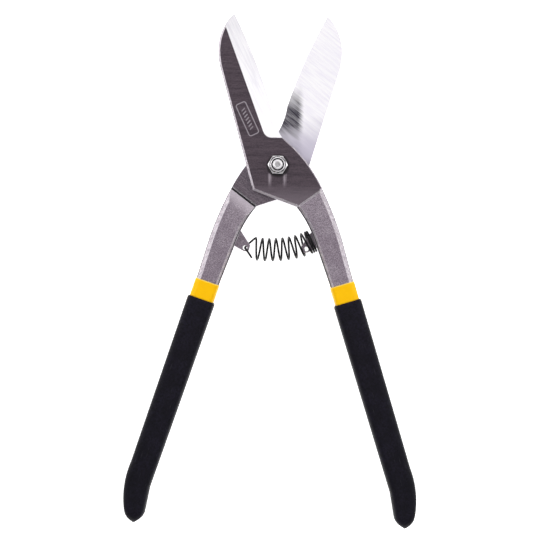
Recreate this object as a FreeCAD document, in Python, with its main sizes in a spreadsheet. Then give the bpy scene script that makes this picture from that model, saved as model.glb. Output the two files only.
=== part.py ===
import FreeCAD, Part
import math
import os
import re
import Sketcher

# Tinner's snips: two one-piece forgings that cross at a bolted pivot, a compression
# spring between two lugs that pushes the handles apart, and dipped handle covers.
#
# Frame: the snips lie flat, as the spring holds them open. X points right, Y points
# from the handles to the blade tips, Z points up. The pivot axis is X = 0, Y = 0, and
# Z = 0 is the plane that the underside of the bolt head lies on. The front (upper) half
# has its blade on the left and its handle on the right. The rear half is the same
# forging turned half a turn about the Y axis. A half is modelled with its shear face at
# local Z = 0 and its outer face towards local +Z. Lengths are in millimetres.

SIZES = {
    # blade and pivot plate, measured in the plane of the blades
    "tip_x": 26.4,
    "tip_y": 85.2,
    "nose_radius": 30.0,
    "back_x": 35.0,
    "back_drop": 21.2,
    "back_radius": 42.0,
    "spine_x": 33.3,
    "spine_drop": 32.2,
    "heel_x": 13.6,
    "heel_y": 14.3,
    "throat_x": 2.4,
    "throat_y": 15.5,
    "plate_radius": 80.0,
    "cut_x": 4.6,
    "cut_y": 33.5,
    "cut_radius": 300.0,
    "choke_radius": 40.0,
    "blade_thick": 5.0,
    "blade_gap": 0.1,
    "spine_chamfer": 1.1,
    "plate_chamfer": 0.5,
    # ground bevel behind the cutting edge
    "bevel_top_x": 31.3,
    "bevel_top_drop": 7.2,
    "bevel_low_x": 7.3,
    "bevel_run_out": 5.0,
    "bevel_angle": 22.5,
    # shoulder, where the pivot plate meets the thicker handle
    "shoulder_distance": 25.3,
    "shoulder_angle": 53.4,
    "shoulder_outer": 13.0,
    "shoulder_inner": 4.7,
    "shoulder_lap": 3.0,
    "relief_depth": 0.45,
    "relief_width": 0.6,
    "wall_run": 1.3,
    "wall_drop": 3.4,
    "ramp_run": 6.5,
    # handle forging
    "outer_step": 0.95,
    "handle_draft": 7.0,
    "elbow_outer_x": 37.3,
    "elbow_outer_y": 40.7,
    "elbow_outer_radius": 200.0,
    "elbow_inner_x": 22.0,
    "elbow_inner_y": 42.0,
    "elbow_inner_radius": 66.0,
    "handle_x": 37.05,
    "handle_y": 63.55,
    "handle_angle": 17.87,
    "handle_width": 13.4,
    "handle_end_width": 12.2,
    "outer_chamfer": 1.9,
    "inner_chamfer": 0.9,
    # end of the handle along and across its straight axis; a run goes on from the bend's start
    "bend_start": 113.0,
    "bend_radius": 52.0,
    "cheek_run": 28.0,
    "cheek_across": 1.9,
    "nose_run": 32.2,
    "nose_across": 4.2,
    "nose_round": 8.0,
    "blunt_across": 6.0,
    "toe_run": 24.5,
    "toe_across": 9.4,
    "toe_round": 11.5,
    "inner_run": 10.0,
    # dipped covers: a thin first coat and a thicker second coat over it
    "coat_wall": 0.45,
    "grip_wall": 1.0,
    "coat_start": 2.8,
    "grip_start": 13.3,
    "grip_fillet": 2.5,
    # spring lugs
    "lug_root_x": 20.2,
    "lug_root_y": 36.6,
    "lug_nose_x": 14.4,
    "lug_nose_y": 45.3,
    "lug_tip_x": 15.6,
    "lug_tip_y": 48.9,
    "lug_chin_x": 18.2,
    "lug_chin_y": 48.6,
    "lug_foot_x": 23.4,
    "lug_foot_y": 45.8,
    "lug_sink": 3.0,
    "lug_thick": 2.6,
    "lug_hole": 2.5,
    "lug_hole_x": 17.3,
    "lug_hole_y": 46.7,
    # M6 pivot bolt and lock nut
    "bolt_size": 6.0,
    "pivot_clearance": 0.05,
    "hex_wall": 1.9,
    "hex_land": 0.2,
    "hex_bevel": 30.0,
    "head_high": 4.0,
    "nut_clearance": 0.05,
    "nut_hex_high": 4.4,
    "nut_high": 6.0,
    "collar_wall": 0.55,
    "collar_lip": 0.5,
    "insert_wall": 0.75,
    "insert_open": 0.55,
    "insert_high": 1.0,
    "bolt_stick_out": 1.0,
    "bolt_point": 0.8,
    # return spring
    "wire_size": 1.15,
    "coil_size": 12.3,
    "open_turns": 7.5,
    "closed_turns": 2.0,
    "closed_pitch": 1.25,
    "coil_start_x": 11.9,
    "coil_start_y": 47.1,
    "coil_start_angle": -6.0,
    "coil_seat": 1.6,
    "coil_drop": 0.2,
    "coil_seat_angle": 25.0,
    "hook_reach": 7.0,
    "hook_bend": 1.6,
    "hook_gap": 0.6,
    "tail_angle": -55.0,
    "lead_reach": 3.9,
    "lead_angle": 48.0,
}


FIT = 1e-4  # how closely two places agree to count as the same
POINTS_PER_TURN = 16  # of the spring's wire
SHEAR_HEIGHT = "head_high + blade_thick + blade_gap / 2"
HANDLE_THICK = "(2 * (blade_thick + outer_step) + blade_gap)"
HEX_FLATS = "(bolt_size + 2 * hex_wall)"
COLLAR_SIZE = "(bolt_size + 2 * insert_wall + 2 * collar_wall)"
NUT_SEAT = "(head_high + 2 * blade_thick + blade_gap + nut_clearance)"
INSERT_SEAT = "(%s + nut_hex_high)" % NUT_SEAT


def linked(rule):
    """The rule with each size's name pointing at its cell in the sheet."""
    return re.sub(r"[a-z_]+", lambda word: "Sizes." + word[0] if word[0] in SIZES else word[0], rule)


def make_sheet(doc):
    sheet = doc.addObject("Spreadsheet::Sheet", "Sizes")
    for row, (name, value) in enumerate(SIZES.items(), start=1):
        sheet.set("A%d" % row, name)
        sheet.set("B%d" % row, str(value))
        sheet.setAlias("B%d" % row, name)
    doc.recompute()
    return sheet


def value_of(rule):
    """The number that a rule gives with the sheet's sizes; angles are in degrees."""
    return float(document.Sizes.evalExpression(linked(rule)))


def origin_plane(body, role):
    return [plane for plane in body.Origin.OriginFeatures if plane.Role == role][0]


def new_sketch(body, name, role="XY_Plane", offset=None, height=None):
    """A sketch on one of the body's own planes, moved off it by a placement or a height rule."""
    sketch = body.newObject("Sketcher::SketchObject", name)
    sketch.AttachmentSupport = [(origin_plane(body, role), "")]
    sketch.MapMode = "FlatFace"
    if offset is not None:
        sketch.AttachmentOffset = offset
    if height is not None:
        sketch.setExpression("AttachmentOffset.Base.z", linked(height))
    return sketch


def arc_between(start, end, radius):
    """An arc under half a circle; a positive radius bulges to the left of the way travelled."""
    chord = end - start
    left = FreeCAD.Vector(-chord.y, chord.x, 0) / chord.Length
    rise = math.sqrt(radius ** 2 - (chord.Length / 2) ** 2)
    centre = (start + end) / 2 - left * math.copysign(rise, radius)
    turns_left = radius < 0
    first, last = (start, end) if turns_left else (end, start)
    angles = [math.atan2(point.y - centre.y, point.x - centre.x) for point in (first, last)]
    circle = Part.Circle(centre, FreeCAD.Vector(0, 0, 1), abs(radius))
    return Part.ArcOfCircle(circle, angles[0], angles[1]), turns_left


def draw_outline(sketch, corners):
    """A closed outline through corners, each (x, y) or, after an arc, (x, y, radius) as rules.

    Each corner's place and each arc's radius is bound to the sheet.
    """
    points = [FreeCAD.Vector(value_of(corner[0]), value_of(corner[1]), 0) for corner in corners]
    ends = []
    for number, corner in enumerate(corners):
        start = points[number - 1]
        if len(corner) == 2:
            sketch.addGeometry(Part.LineSegment(start, points[number]), False)
            ends.append((1, 2))
            continue
        arc, turns_left = arc_between(start, points[number], value_of(corner[2]))
        sketch.addGeometry(arc, False)
        ends.append((1, 2) if turns_left else (2, 1))
    for number, corner in enumerate(corners):
        after = (number + 1) % len(corners)
        finish = ends[number][1]
        sketch.addConstraint(Sketcher.Constraint("Coincident", number, finish, after, ends[after][0]))
        bind(sketch, "DistanceX", (-1, 1, number, finish), corner[0], "across_%d" % number)
        bind(sketch, "DistanceY", (-1, 1, number, finish), corner[1], "along_%d" % number)
        if len(corner) == 3:
            bind(sketch, "Radius", (number,), "abs(%s)" % corner[2], "radius_%d" % number)


def bind(sketch, kind, elements, rule, name):
    index = sketch.addConstraint(Sketcher.Constraint(kind, *elements, value_of(rule)))
    sketch.renameConstraint(index, name)
    sketch.setExpression(".Constraints." + name, linked(rule))


def on_shoulder(distance, along):
    """A point at a distance from the pivot across the shoulder line, and a place along it."""
    x = "(%s) * cos(shoulder_angle) + (%s) * sin(shoulder_angle)" % (distance, along)
    y = "(%s) * cos(shoulder_angle) - (%s) * sin(shoulder_angle)" % (along, distance)
    return x, y


def on_handle(along, across):
    """A point along the handle's straight axis, and across it towards the outer side."""
    x = "handle_x + (%s) * sin(handle_angle) + (%s) * cos(handle_angle)" % (along, across)
    y = "(%s) * sin(handle_angle) - handle_y - (%s) * cos(handle_angle)" % (across, along)
    return x, y


def handle_end(cover):
    """The corners round the handle's end, from its outer to its inner side.

    cover is the thickness of what lies over this surface, so each layer is inside the next.
    """
    half = "handle_end_width / 2 + coat_wall + grip_wall - (%s)" % cover
    outer = on_handle("bend_start", half)
    cheek = on_handle("bend_start + cheek_run - (%s)" % cover, "cheek_across - (%s)" % cover)
    nose = on_handle("bend_start + nose_run - (%s)" % cover, "-nose_across")
    blunt = on_handle("bend_start + nose_run - (%s)" % cover, "-blunt_across")
    toe = on_handle("bend_start + toe_run", "(%s) - toe_across" % cover)
    inner = on_handle("bend_start + inner_run", "-(%s)" % half)
    return [
        outer,
        cheek + ("bend_radius - (%s)" % cover,),
        nose + ("nose_round",),
        blunt,
        toe + ("toe_round",),
        inner,
    ]


def add_pad(body, name, sketch, length, draft="0", downwards=False):
    """A pad from the sketch's plane, its sides leaning in by the draft angle."""
    pad = body.newObject("PartDesign::Pad", name)
    pad.Profile = sketch
    pad.Reversed = downwards
    pad.setExpression("Length", linked(length))
    pad.setExpression("TaperAngle", linked("-(%s)" % draft))
    document.recompute()
    return pad


def add_forged_pad(body, name, sketch, thickness, draft):
    """A pad both ways from the sketch's plane, drafted away from that parting plane."""
    add_pad(body, name + "_upper", sketch, "(%s) / 2" % thickness, draft)
    return add_pad(body, name + "_lower", sketch, "(%s) / 2" % thickness, draft, downwards=True)


def add_pocket(body, name, sketch, length):
    """A cut of this length, half on each side of the sketch's plane."""
    before = body.Shape.Volume
    pocket = body.newObject("PartDesign::Pocket", name)
    pocket.Profile = sketch
    pocket.SideType = "Symmetric"
    pocket.setExpression("Length", linked(length))
    document.recompute()
    if not pocket.Shape.Volume < before:
        raise RuntimeError(name + " cuts nothing")
    return pocket


def blade_corners():
    """The blade and pivot plate, from the back round by the heel, shoulder, throat and tip."""
    return [
        ("-back_x", "tip_y - back_drop", "-nose_radius"),
        ("-spine_x", "tip_y - spine_drop", "-back_radius"),
        ("-heel_x", "-heel_y"),
        on_shoulder("shoulder_distance", "-shoulder_inner"),
        on_shoulder("shoulder_distance", "shoulder_outer"),
        ("throat_x", "throat_y", "-plate_radius"),
        ("-cut_x", "cut_y", "choke_radius"),
        ("-tip_x", "tip_y", "-cut_radius"),
    ]


def handle_corners():
    """The handle, from the shoulder down its outer side, round the end and back."""
    return [
        on_shoulder("shoulder_distance - shoulder_lap", "shoulder_outer - plate_chamfer"),
        on_shoulder("shoulder_distance", "shoulder_outer"),
        ("elbow_outer_x", "-elbow_outer_y", "elbow_outer_radius"),
        on_handle("0", "handle_width / 2"),
        *handle_end("coat_wall + grip_wall"),
        on_handle("0", "-handle_width / 2"),
        ("elbow_inner_x", "-elbow_inner_y"),
        on_shoulder("shoulder_distance", "-shoulder_inner") + ("-elbow_inner_radius",),
        on_shoulder("shoulder_distance - shoulder_lap", "plate_chamfer - shoulder_inner"),
    ]


def shoulder_plane():
    """An upright plane through the pivot axis and square to the shoulder line."""
    turn = FreeCAD.Rotation(FreeCAD.Vector(0, 1, 0), -value_of("shoulder_angle"))
    return FreeCAD.Placement(FreeCAD.Vector(0, 0, 0), turn)


def cut_shoulder(body):
    """The outer step up to the handle, and on the shear side a relief groove, wall and ramp."""
    span = "2 * (shoulder_distance + handle_width)"
    step = new_sketch(body, "outer_step", "XZ_Plane", shoulder_plane())
    top = "blade_thick + blade_gap / 2"
    draw_outline(step, [
        ("shoulder_distance - 2 * shoulder_lap", top),
        ("shoulder_distance", top),
        ("shoulder_distance + 2 * outer_step", top + " + 2 * outer_step"),
        ("shoulder_distance - 2 * shoulder_lap", top + " + 2 * outer_step"),
    ])
    add_pocket(body, "outer_step_cut", step, span)
    ramp = new_sketch(body, "shear_ramp", "XZ_Plane", shoulder_plane())
    draw_outline(ramp, [
        ("shoulder_distance - 2 * shoulder_lap", "blade_gap / 2"),
        ("shoulder_distance - relief_width", "blade_gap / 2"),
        ("shoulder_distance", "blade_gap / 2 + relief_depth"),
        ("shoulder_distance + wall_run", "-wall_drop"),
        ("shoulder_distance + wall_run + ramp_run", "-%s / 2" % HANDLE_THICK),
        ("shoulder_distance + wall_run + ramp_run", "-" + HANDLE_THICK),
        ("shoulder_distance - 2 * shoulder_lap", "-" + HANDLE_THICK),
    ])
    add_pocket(body, "shear_ramp_cut", ramp, span)


def add_lug(body):
    """The lug that holds the spring, with the hole that the spring's end hooks through."""
    lug = new_sketch(body, "lug_plan")
    draw_outline(lug, [
        ("lug_root_x + lug_sink", "-lug_root_y"),
        ("lug_root_x", "-lug_root_y"),
        ("lug_nose_x", "-lug_nose_y"),
        ("lug_tip_x", "-lug_tip_y", "-3 * lug_sink"),
        ("lug_chin_x", "-lug_chin_y"),
        ("lug_foot_x", "-lug_foot_y"),
        ("lug_foot_x + lug_sink", "-lug_foot_y"),
    ])
    add_forged_pad(body, "lug", lug, "lug_thick", "0")
    hole = new_sketch(body, "lug_hole_plan")
    draw_circle(hole, "lug_hole_x", "-lug_hole_y", "lug_hole")
    add_pocket(body, "lug_hole_cut", hole, "2 * lug_thick")


def draw_circle(sketch, x, y, size):
    centre = FreeCAD.Vector(value_of(x), value_of(y), 0)
    circle = Part.Circle(centre, FreeCAD.Vector(0, 0, 1), value_of(size) / 2)
    sketch.addGeometry(circle, False)
    bind(sketch, "DistanceX", (-1, 1, 0, 3), x, "across")
    bind(sketch, "DistanceY", (-1, 1, 0, 3), y, "along")
    bind(sketch, "Diameter", (0,), size, "size")


def side_of(start, end, point):
    """How far the point lies to the right of the line from start to end."""
    way = (end - start).normalize()
    return way.y * (point.x - start.x) - way.x * (point.y - start.y)


def corner_point(corner):
    return FreeCAD.Vector(value_of(corner[0]), value_of(corner[1]), 0)


def chamfer_blade(body):
    """A wide chamfer along the back and heel, and a fine one along the pivot plate's side."""
    dress_edges(body, "Chamfer", "spine_side", face_edges(body, on_back=True), "spine_chamfer")
    dress_edges(body, "Chamfer", "plate_side", face_edges(body, on_back=False), "plate_chamfer")


def face_edges(body, on_back):
    """Rim edges of the outer face on the back's side, or the throat's, of the line to the tip."""
    throat = corner_point(("throat_x", "throat_y"))
    tip = corner_point(("-tip_x", "tip_y"))
    shape = body.Tip.Shape
    names = []
    for number, edge in enumerate(shape.Edges, start=1):
        middle = edge.valueAt((edge.FirstParameter + edge.LastParameter) / 2)
        side = side_of(throat, tip, middle)
        clear = abs(side) > value_of("shoulder_lap") and middle.Length > value_of("bolt_size")
        if clear and (side < 0) == on_back and on_face_rim(shape, edge, middle):
            names.append("Edge%d" % number)
    return names


def on_face_rim(shape, edge, middle):
    """Whether the edge is where the outer face meets a side that isn't another such face."""
    face = value_of("blade_thick + blade_gap / 2")
    if abs(middle.z - face) > FIT:
        return False
    beside = shape.ancestorsOfType(edge, Part.Face)
    tilts = sorted(abs(wall.normalAt(*wall.Surface.parameter(middle)).z) for wall in beside)
    return tilts[0] < math.sin(math.radians(value_of("handle_draft"))) + FIT


def handle_edges(body, thickness):
    """Names of the long edges round both faces of the handle: the outer side's and the inner's."""
    shoulder = corner_point(on_shoulder("shoulder_distance", "(shoulder_outer - shoulder_inner) / 2"))
    neck = corner_point(on_handle("0", "0"))
    end = corner_point(on_handle("bend_start", "0"))
    face = value_of(thickness) / 2
    outer = []
    inner = []
    for number, edge in enumerate(body.Tip.Shape.Edges, start=1):
        middle = edge.valueAt((edge.FirstParameter + edge.LastParameter) / 2)
        start, finish = (neck, end) if middle.y < neck.y else (shoulder, neck)
        side = -side_of(start, finish, middle)
        on_side = abs(side) > value_of("handle_width") / 4
        if abs(abs(middle.z) - face) < FIT and on_side and middle.y > end.y:
            (outer if side > 0 else inner).append("Edge%d" % number)
    return outer, inner


def dress_edges(body, kind, name, edges, size):
    """A chamfer or fillet of one size along edges of the body as it is so far."""
    base = body.Tip
    dress = body.newObject("PartDesign::" + kind, name)
    dress.Base = (base, edges)
    dress.setExpression("Size" if kind == "Chamfer" else "Radius", linked(size))
    document.recompute()
    return dress


def chamfer_handle(body, thickness):
    """Both faces of the handle: a wide chamfer on its outer side and a narrow one inside."""
    dress_edges(body, "Chamfer", "outer_side", handle_edges(body, thickness)[0], "outer_chamfer")
    dress_edges(body, "Chamfer", "inner_side", handle_edges(body, thickness)[1], "inner_chamfer")


def fillet_handle(body, thickness):
    """Rounded edges round both faces of the grip, but not at its upper rim."""
    face = value_of(thickness) / 2
    start = corner_point(on_handle("grip_start", "0"))
    names = []
    for number, edge in enumerate(body.Tip.Shape.Edges, start=1):
        middle = edge.valueAt((edge.FirstParameter + edge.LastParameter) / 2)
        if abs(abs(middle.z) - face) < FIT and (middle - start).Length > value_of("handle_width"):
            names.append("Edge%d" % number)
    dress_edges(body, "Fillet", "rounding", names, "grip_fillet")


def make_grinding(label):
    """What the wheel takes off behind the cutting edge: a slab over a sloping plane."""
    face = value_of("blade_thick + blade_gap / 2")
    top = corner_point(("-bevel_top_x", "tip_y - bevel_top_drop"))
    low = corner_point(("-bevel_low_x", "throat_y"))
    line = (low - top).normalize()
    # the wheel's run-out rounds the bevel's lower corner into the throat
    turn = math.acos(line.x)
    reach = value_of("bevel_run_out") * math.tan(turn / 2)
    start = low - line * reach
    far = value_of("tip_x")
    beyond = top - line * far
    grinding = document.addObject("PartDesign::Body", label)
    region = new_sketch(grinding, "bevel_plan")
    draw_outline(region, [
        (str(beyond.x), str(beyond.y)),
        (str(start.x), str(start.y)),
        ("-bevel_low_x + %s" % reach, "throat_y", "-bevel_run_out"),
        ("throat_x + %s" % far, "throat_y"),
        ("throat_x + %s" % far, str(beyond.y)),
    ])
    add_pad(grinding, "bevel_region", region, "2 * blade_thick")
    slope = FreeCAD.Rotation(line, -value_of("bevel_angle"))
    top.z = face
    kept = new_sketch(grinding, "kept_plan", offset=FreeCAD.Placement(top, slope))
    draw_circle(kept, "0", "0", "8 * tip_y")
    pocket = grinding.newObject("PartDesign::Pocket", "kept_side")
    pocket.Profile = kept
    pocket.Type = "ThroughAll"
    document.recompute()
    return grinding


def cut_bevel(body):
    cut = body.newObject("PartDesign::Boolean", "bevel")
    cut.Type = "Cut"
    cut.addObject(make_grinding(body.Name + "_grinding"))
    document.recompute()


def make_half(label):
    """One forging: blade, pivot plate, handle core and spring lug."""
    body = document.addObject("PartDesign::Body", label)
    handle = new_sketch(body, "handle_plan")
    draw_outline(handle, handle_corners())
    add_forged_pad(body, "handle", handle, HANDLE_THICK, "handle_draft")
    chamfer_handle(body, HANDLE_THICK)
    blade = new_sketch(body, "blade_plan", height="blade_gap / 2")
    draw_outline(blade, blade_corners())
    add_pad(body, "blade", blade, "blade_thick")
    cut_shoulder(body)
    chamfer_blade(body)
    add_lug(body)
    bore = new_sketch(body, "pivot_bore_plan")
    draw_circle(bore, "0", "0", "bolt_size + 2 * pivot_clearance")
    add_pocket(body, "pivot_bore", bore, "4 * blade_thick")
    cut_bevel(body)
    return body


def half_width(along):
    """Half the handle core's width at a place along its taper."""
    return "(handle_width + (handle_end_width - handle_width) * (%s) / bend_start) / 2" % along


def make_cover(label, start, wall, cover):
    """The solid that fills one coat's outer surface, from its upper rim to the handle's end."""
    body = document.addObject("PartDesign::Body", label)
    plan = new_sketch(body, "cover_plan")
    half = "%s + %s" % (half_width(start), wall)
    draw_outline(plan, [
        *handle_end(cover),
        on_handle(start, "-(%s)" % half),
        on_handle(start, half),
    ])
    add_forged_pad(body, "cover", plan, HANDLE_THICK + " + 2 * (%s)" % wall, "handle_draft")
    return body


def make_coat(label, half):
    """The thin first coat, with the handle core's own chamfers, hollow where the core is."""
    blank = make_cover(label + "_blank", "coat_start", "coat_wall", "grip_wall")
    chamfer_handle(blank, HANDLE_THICK + " + 2 * coat_wall")
    return blank, cut_out(label, blank, half)


def make_grip(label, coat_blank):
    """The thick second coat over the first, with well rounded sides."""
    blank = make_cover(label + "_blank", "grip_start", "coat_wall + grip_wall", "0")
    fillet_handle(blank, HANDLE_THICK + " + 2 * (coat_wall + grip_wall)")
    return blank, cut_out(label, blank, coat_blank)


def cut_out(label, base, tool):
    cut = document.addObject("Part::Cut", label)
    cut.Base = base
    cut.Tool = tool
    return cut


def place_side(pieces, turned):
    """Lift the shear face to the pivot's middle, and turn the rear side over about the Y axis."""
    turn = FreeCAD.Rotation(FreeCAD.Vector(0, 1, 0), 180 if turned else 0)
    for piece in pieces:
        piece.Placement = FreeCAD.Placement(FreeCAD.Vector(0, 0, 0), turn)
        piece.setExpression("Placement.Base.z", linked(SHEAR_HEIGHT))


def make_side(side, turned):
    half = make_half(side + "_half")
    coat_blank, coat = make_coat(side + "_undercoat", half)
    grip_blank, grip = make_grip(side + "_grip", coat_blank)
    place_side([half, coat_blank, grip_blank], turned)
    return [half, coat, grip]


def hexagon():
    corner = HEX_FLATS + " / sqrt(3)"
    turns = range(0, 360, 60)
    return [("%s * cos(%d)" % (corner, turn), "%s * sin(%d)" % (corner, turn)) for turn in turns]


def add_turned(body, kind, name, corners):
    """A full turn about the Z axis of a profile of (radius, height) corners, added or cut."""
    profile = new_sketch(body, name + "_profile", "XZ_Plane")
    draw_outline(profile, corners)
    turned = body.newObject("PartDesign::" + kind, name)
    turned.Profile = profile
    turned.ReferenceAxis = (profile, ["V_Axis"])
    turned.Angle = 360
    document.recompute()
    return turned


def bevel_hexagon(body, name, height, upper):
    """Take the sharp corners off one end of a hexagon, leaving a round face inside the flats."""
    inner = HEX_FLATS + " / 2 - hex_land"
    outer = HEX_FLATS + " / sqrt(3) + hex_land"
    fall = "(%s - (%s)) * tan(hex_bevel)" % (outer, inner)
    add_turned(body, "Groove", name, [
        (inner, height),
        (outer, height + (" - " if upper else " + ") + fall),
        (outer, height),
    ])


def make_bolt():
    """Hex bolt: its head is under the rear half and its point stands out of the nut."""
    body = document.addObject("PartDesign::Body", "pivot_bolt")
    head = new_sketch(body, "head_plan")
    draw_outline(head, hexagon())
    add_pad(body, "head", head, "head_high")
    bevel_hexagon(body, "head_bevel", "0", upper=False)
    top = "%s + nut_high + bolt_stick_out" % NUT_SEAT
    add_turned(body, "Revolution", "shank", [
        ("0", "head_high / 2"),
        ("bolt_size / 2", "head_high / 2"),
        ("bolt_size / 2", "%s - bolt_point" % top),
        ("bolt_size / 2 - bolt_point", top),
        ("0", top),
    ])
    return body


def make_nut():
    """Lock nut: a hexagon with a round collar that is rolled in over a nylon ring."""
    body = document.addObject("PartDesign::Body", "pivot_nut")
    sides = new_sketch(body, "nut_plan", height=NUT_SEAT)
    draw_outline(sides, hexagon())
    add_pad(body, "nut_hexagon", sides, "nut_hex_high")
    bevel_hexagon(body, "nut_lower_bevel", NUT_SEAT, upper=False)
    bevel_hexagon(body, "nut_upper_bevel", INSERT_SEAT, upper=True)
    add_turned(body, "Revolution", "collar", [
        ("bolt_size / 2", NUT_SEAT + " + nut_hex_high / 2"),
        (COLLAR_SIZE + " / 2", NUT_SEAT + " + nut_hex_high / 2"),
        (COLLAR_SIZE + " / 2", NUT_SEAT + " + nut_high - collar_lip"),
        (COLLAR_SIZE + " / 2 - collar_lip", NUT_SEAT + " + nut_high", "collar_lip"),
        ("bolt_size / 2", NUT_SEAT + " + nut_high"),
    ])
    add_turned(body, "Groove", "nut_bore", [
        ("0", NUT_SEAT + " - bolt_point"),
        ("bolt_size / 2", NUT_SEAT + " - bolt_point"),
        ("bolt_size / 2", INSERT_SEAT),
        ("bolt_size / 2 + insert_wall", INSERT_SEAT),
        ("bolt_size / 2 + insert_wall", INSERT_SEAT + " + insert_high"),
        ("bolt_size / 2 + insert_open", INSERT_SEAT + " + insert_high"),
        ("bolt_size / 2 + insert_open", NUT_SEAT + " + nut_high + bolt_point"),
        ("0", NUT_SEAT + " + nut_high + bolt_point"),
    ])
    return body


def make_insert():
    """The nylon ring that grips the thread, held in the nut's collar."""
    body = document.addObject("PartDesign::Body", "nut_insert")
    add_turned(body, "Revolution", "ring", [
        ("bolt_size / 2", INSERT_SEAT),
        ("bolt_size / 2 + insert_wall", INSERT_SEAT),
        ("bolt_size / 2 + insert_wall", INSERT_SEAT + " + insert_high"),
        ("bolt_size / 2", INSERT_SEAT + " + insert_high"),
    ])
    return body


def heading(rule):
    """A level direction at an angle from the X axis, given as a rule."""
    angle = math.radians(value_of(rule))
    return FreeCAD.Vector(math.cos(angle), math.sin(angle), 0)


def spring_axis():
    """The bowed centre line of the open coils, and where the closed coils start."""
    start = corner_point(("-coil_start_x", "-coil_start_y"))
    root = corner_point(("lug_root_x", "-lug_root_y"))
    foot = corner_point(("lug_foot_x", "-lug_foot_y"))
    forward = heading("coil_seat_angle")
    seat = (root + foot) / 2 + heading("coil_seat_angle - 90") * value_of("coil_drop")
    closed = seat - forward * value_of("coil_seat + closed_turns * closed_pitch")
    handle = (closed - start).Length / 3
    axis = Part.BezierCurve()
    axis.setPoles([
        start,
        start + heading("coil_start_angle") * handle,
        closed - forward * handle,
        closed,
    ])
    return axis, closed


def coil_point(centre, forward, turn):
    """The wire's place round a centre after so many turns; it starts on the left of the way."""
    up = FreeCAD.Vector(0, 0, 1)
    across = up.cross(forward).normalize()
    angle = 2 * math.pi * turn
    return centre + (across * math.cos(angle) + up * math.sin(angle)) * value_of("coil_size / 2")


def spring_path():
    """Points along the wire: the hook through the rear lug, the open coils, the closed coils."""
    axis, closed = spring_axis()
    open_turns = value_of("open_turns")
    points = hook_points()
    for step in range(int(open_turns * POINTS_PER_TURN)):
        turn = step / POINTS_PER_TURN
        place = turn / open_turns
        points.append(coil_point(axis.value(place), axis.tangent(place)[0], turn))
    forward = heading("coil_seat_angle")
    for step in range(int(value_of("closed_turns") * POINTS_PER_TURN) + 1):
        turn = step / POINTS_PER_TURN
        centre = closed + forward * turn * value_of("closed_pitch")
        points.append(coil_point(centre, forward, open_turns + turn))
    return points


def hook_points():
    """From the wire's loose end in front of the rear lug, through its hole and out behind it."""
    side = FreeCAD.Vector(0, 0, value_of("lug_thick / 2 + wire_size / 2 + hook_gap"))
    hole = corner_point(("-lug_hole_x", "-lug_hole_y"))
    tail = heading("tail_angle")
    lead = heading("lead_angle")
    bend = value_of("hook_bend")
    return [
        hole + tail * value_of("hook_reach") + side,
        hole + tail * value_of("(hook_reach + hook_bend) / 2") + side,
        hole + tail * bend + side,
        hole,
        hole + lead * bend - side,
        hole + lead * value_of("lead_reach") - side,
    ]


def make_spring():
    """Round wire swept along its path."""
    curve = Part.BSplineCurve()
    curve.interpolate(spring_path())
    start = curve.FirstParameter
    section = Part.makeCircle(value_of("wire_size / 2"), curve.value(start), curve.tangent(start)[0])
    spring = document.addObject("Part::Feature", "return_spring")
    spring.Shape = Part.Wire([curve.toShape()]).makePipeShell([Part.Wire([section])], True, True)
    spring.Placement = FreeCAD.Placement(FreeCAD.Vector(0, 0, value_of(SHEAR_HEIGHT)), FreeCAD.Rotation())
    return spring


def failed(pieces):
    """Names of the document's failed objects, and of the pieces with no sound shape."""
    names = [item.Name for item in document.Objects if {"Invalid", "Error"} & set(item.State)]
    return names + [item.Label for item in pieces if item.Shape.isNull() or not item.Shape.isValid()]


def main():
    pieces = [
        *make_side("front", turned=False),
        *make_side("rear", turned=True),
        make_bolt(),
        make_nut(),
        make_insert(),
        make_spring(),
    ]
    document.recompute()
    bad = failed(pieces)
    if bad:
        raise RuntimeError("not sound: " + ", ".join(bad))
    os.makedirs("parts", exist_ok=True)
    for piece in pieces:
        piece.Shape.exportStep("parts/%s.step" % piece.Label)


document = FreeCAD.newDocument("tinners_snips")
make_sheet(document)
if __name__ == "__main__":
    main()
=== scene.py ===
import math

import bpy
import numpy as np
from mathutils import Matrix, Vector


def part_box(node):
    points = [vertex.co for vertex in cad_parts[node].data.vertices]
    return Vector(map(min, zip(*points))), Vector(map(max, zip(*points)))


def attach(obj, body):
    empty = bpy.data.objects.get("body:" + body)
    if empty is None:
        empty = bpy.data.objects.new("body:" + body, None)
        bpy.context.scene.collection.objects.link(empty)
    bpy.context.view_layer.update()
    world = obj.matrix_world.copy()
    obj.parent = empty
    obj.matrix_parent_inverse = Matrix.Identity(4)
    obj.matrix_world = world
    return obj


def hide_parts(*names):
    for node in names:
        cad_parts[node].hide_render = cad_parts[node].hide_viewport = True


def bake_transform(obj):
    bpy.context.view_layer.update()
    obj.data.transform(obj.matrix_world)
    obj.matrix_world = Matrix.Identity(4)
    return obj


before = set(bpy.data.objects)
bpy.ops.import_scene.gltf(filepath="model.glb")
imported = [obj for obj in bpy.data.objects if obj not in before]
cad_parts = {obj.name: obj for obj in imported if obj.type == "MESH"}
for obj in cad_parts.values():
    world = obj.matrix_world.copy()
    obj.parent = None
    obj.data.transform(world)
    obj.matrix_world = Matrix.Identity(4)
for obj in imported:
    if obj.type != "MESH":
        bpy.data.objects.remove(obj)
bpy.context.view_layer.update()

# Tinner's snips, seen from straight above. Everything is in metres and in the frame of the
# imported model: the pivot is the Z axis, the blades point along +Y, and the floor is Z = 0.
# The rear half is the front half's forging turned half a turn about the Y axis, so one
# material recipe serves both, read in the half's own coordinates (millimetres, with the
# shear face at 0 and the outer face towards +Z).

MM = 0.001
shear_height = (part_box("front_half")[0].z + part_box("rear_half")[1].z) / 2

# what the shot takes in
FIELD = 305.1 * MM  # width of the picture at the height of the blades
CENTRE = Vector((-2.9, -59.0, 9.0)) * MM
ROLL = math.radians(1.35)
LENS = 100.0
SENSOR = 36.0

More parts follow.
